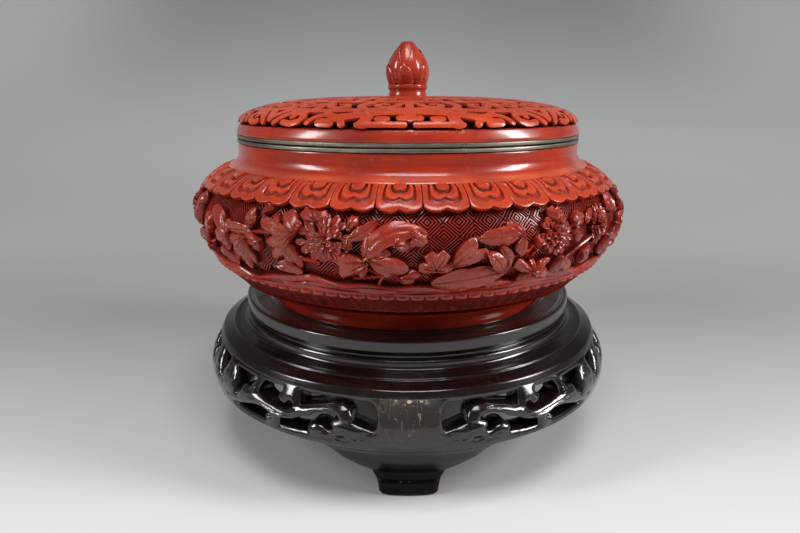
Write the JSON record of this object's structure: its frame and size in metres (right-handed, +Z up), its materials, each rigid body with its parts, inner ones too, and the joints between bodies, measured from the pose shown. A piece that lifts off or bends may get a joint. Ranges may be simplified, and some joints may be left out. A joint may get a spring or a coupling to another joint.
{
  "type": "lidded box on stand",
  "caption": "Round carved lacquer box with a domed lift-off lid, lotus bud knob and metal mouth rims, on a carved wooden stand with a pierced apron and cabriole legs.",
  "frame": {"origin": "on the ground, at the middle of the stand and on the box's axis", "axes": "+Z up along the box's axis, -Y towards the front leg that faces the viewer, +X to the viewer's right"},
  "size_m": [0.218, 0.2208, 0.2031],
  "materials": {
    "hardwood": "dark polished hardwood",
    "body_lacquer": "glossy carved cinnabar lacquer on wood",
    "body_rim_metal": "aged grey-brown brass",
    "lid_lacquer": "glossy carved cinnabar lacquer on wood",
    "lid_rim_metal": "aged grey-brown brass",
    "knob_lacquer": "carved cinnabar lacquer on wood"
  },
  "bodies": {
    "root": {"stand": "hardwood", "box_body": "body_lacquer", "body_rim": "body_rim_metal", "lid": "lid_lacquer", "lid_rim": "lid_rim_metal", "knob": "knob_lacquer"}
  },
  "joints": []
}
